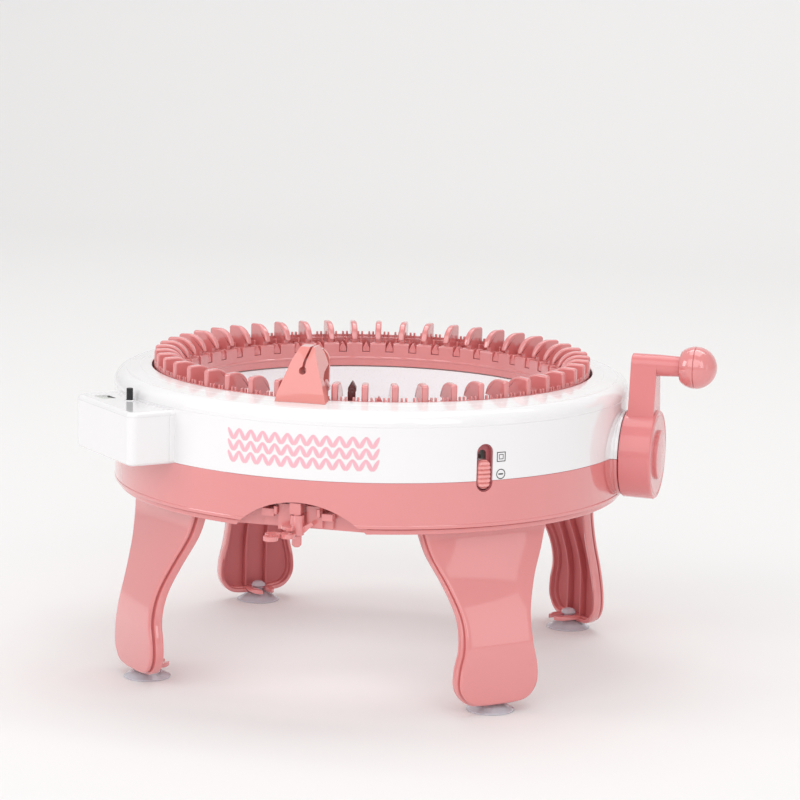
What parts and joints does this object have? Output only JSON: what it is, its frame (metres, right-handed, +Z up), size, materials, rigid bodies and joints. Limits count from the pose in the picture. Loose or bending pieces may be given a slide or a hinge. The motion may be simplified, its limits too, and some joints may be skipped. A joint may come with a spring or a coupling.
{
  "type": "circular knitting machine",
  "caption": "Hand-cranked circular knitting machine: a turning ring of needles in a drum housing on four suction-cup legs, with a yarn feeder and a row counter.",
  "frame": {"origin": "on the table, on the axis of the needle ring", "axes": "+X along the crank's axis, outwards; -Y towards the yarn feeder and tension guide; +Z up"},
  "size_m": [0.3929, 0.3559, 0.222],
  "materials": {
    "pink_shell": "gloss moulded plastic, dusty pink",
    "white_shell": "gloss moulded plastic, white",
    "white_liner": "satin moulded plastic, white",
    "pink_needle": "moulded plastic, dusty pink",
    "marker_needle": "moulded plastic, dark maroon",
    "acetal": "low-friction plastic, off-white",
    "steel": "zinc-plated steel",
    "clear_pvc": "clear soft plastic",
    "black_button": "black moulded plastic",
    "lcd_glass": "liquid-crystal panel",
    "reed_glass": "sealed glass tube",
    "circuit_board": "solder mask, green"
  },
  "bodies": {
    "stand": {"upper_housing": "white_shell", "base_housing": "pink_shell", "bottom_cover": "pink_shell", "inner_sleeve": "white_liner", "cam_ring": "acetal", "lift_cam": "acetal", "bearing_rail": "acetal", "housing_screws": "steel", "leg_front_right": "pink_shell", "leg_back_right": "pink_shell", "leg_back_left": "pink_shell", "leg_front_left": "pink_shell", "leg_screws": "steel", "suction_cup_front_right": "clear_pvc", "suction_cup_back_right": "clear_pvc", "suction_cup_back_left": "clear_pvc", "suction_cup_front_left": "clear_pvc", "yarn_feeder": "pink_shell", "feeder_screws": "steel", "tension_bracket": "pink_shell", "guide_screws": "steel", "tension_cap": "pink_shell", "selector_bezel": "pink_shell", "counter_case": "white_shell", "counter_base": "white_shell", "battery_door": "white_shell", "counter_lcd": "lcd_glass", "counter_board": "circuit_board", "counter_battery": "steel", "reed_switch": "reed_glass", "counter_screws": "steel", "crank_bushing": "acetal"},
    "ring": {"needle_cylinder": "acetal", "fin_ring": "pink_shell", "fins": "pink_shell", "ring_gear": "acetal", "ring_screws": "steel", "counter_magnet": "steel", "needles": "pink_needle"},
    "crank": {"crank_shaft": "steel", "drive_pinion": "acetal", "crank_arm": "pink_shell", "crank_screw": "steel", "crank_cap": "pink_shell", "knob_screw": "steel"},
    "knob": {"knob_inner_half": "pink_shell", "knob_outer_half": "pink_shell"},
    "selector": {"selector_knob": "pink_shell", "selector_link": "acetal"},
    "reset_button": {"counter_button": "black_button"},
    "guide_lever": {"tension_lever": "pink_shell"},
    "needle_1_body": {"needle_1": "pink_needle"},
    "needle_2_body": {"needle_2": "pink_needle"},
    "needle_3_body": {"needle_3": "pink_needle"},
    "marker_needle_body": {"marker_needle": "marker_needle"},
    "needle_5_body": {"needle_5": "pink_needle"},
    "needle_6_body": {"needle_6": "pink_needle"}
  },
  "joints": [
    {"name": "ring_turn", "type": "hinge", "parent": "stand", "child": "ring", "pos_m": [0, 0, 0.15], "axis": [0, 0, 1], "continuous": true},
    {"name": "crank_turn", "type": "hinge", "parent": "stand", "child": "crank", "pos_m": [0.168, 0, 0.1456], "axis": [1, 0, 0], "continuous": true},
    {"name": "knob_spin", "type": "hinge", "parent": "crank", "child": "knob", "pos_m": [0.2124, 0, 0.203], "axis": [1, 0, 0], "continuous": true},
    {"name": "selector_slide", "type": "slide", "parent": "stand", "child": "selector", "axis": [0, 0, 1], "range_m": [0, 0.009]},
    {"name": "counter_press", "type": "slide", "parent": "stand", "child": "reset_button", "axis": [0, 0, -1], "range_m": [0, 0.0015], "stiffness_N_per_m": 300},
    {"name": "guide_swing", "type": "hinge", "parent": "stand", "child": "guide_lever", "pos_m": [0.0015, -0.163, 0.115], "axis": [0, 0, 1], "range_deg": [-35, 15]},
    {"name": "needle_1_lift", "type": "slide", "parent": "ring", "child": "needle_1_body", "axis": [0, 0, 1], "range_m": [0, 0.014]},
    {"name": "needle_2_lift", "type": "slide", "parent": "ring", "child": "needle_2_body", "axis": [0, 0, 1], "range_m": [-0.006, 0.008]},
    {"name": "needle_3_lift", "type": "slide", "parent": "ring", "child": "needle_3_body", "axis": [0, 0, 1], "range_m": [-0.013, 0.001]},
    {"name": "marker_lift", "type": "slide", "parent": "ring", "child": "marker_needle_body", "axis": [0, 0, 1], "range_m": [-0.013, 0.001]},
    {"name": "needle_5_lift", "type": "slide", "parent": "ring", "child": "needle_5_body", "axis": [0, 0, 1], "range_m": [-0.004, 0.01]},
    {"name": "needle_6_lift", "type": "slide", "parent": "ring", "child": "needle_6_body", "axis": [0, 0, 1], "range_m": [0, 0.014]}
  ],
  "couplings": [
    {"joint": "crank_turn", "follows": "ring_turn", "ratio": -12.5}
  ]
}
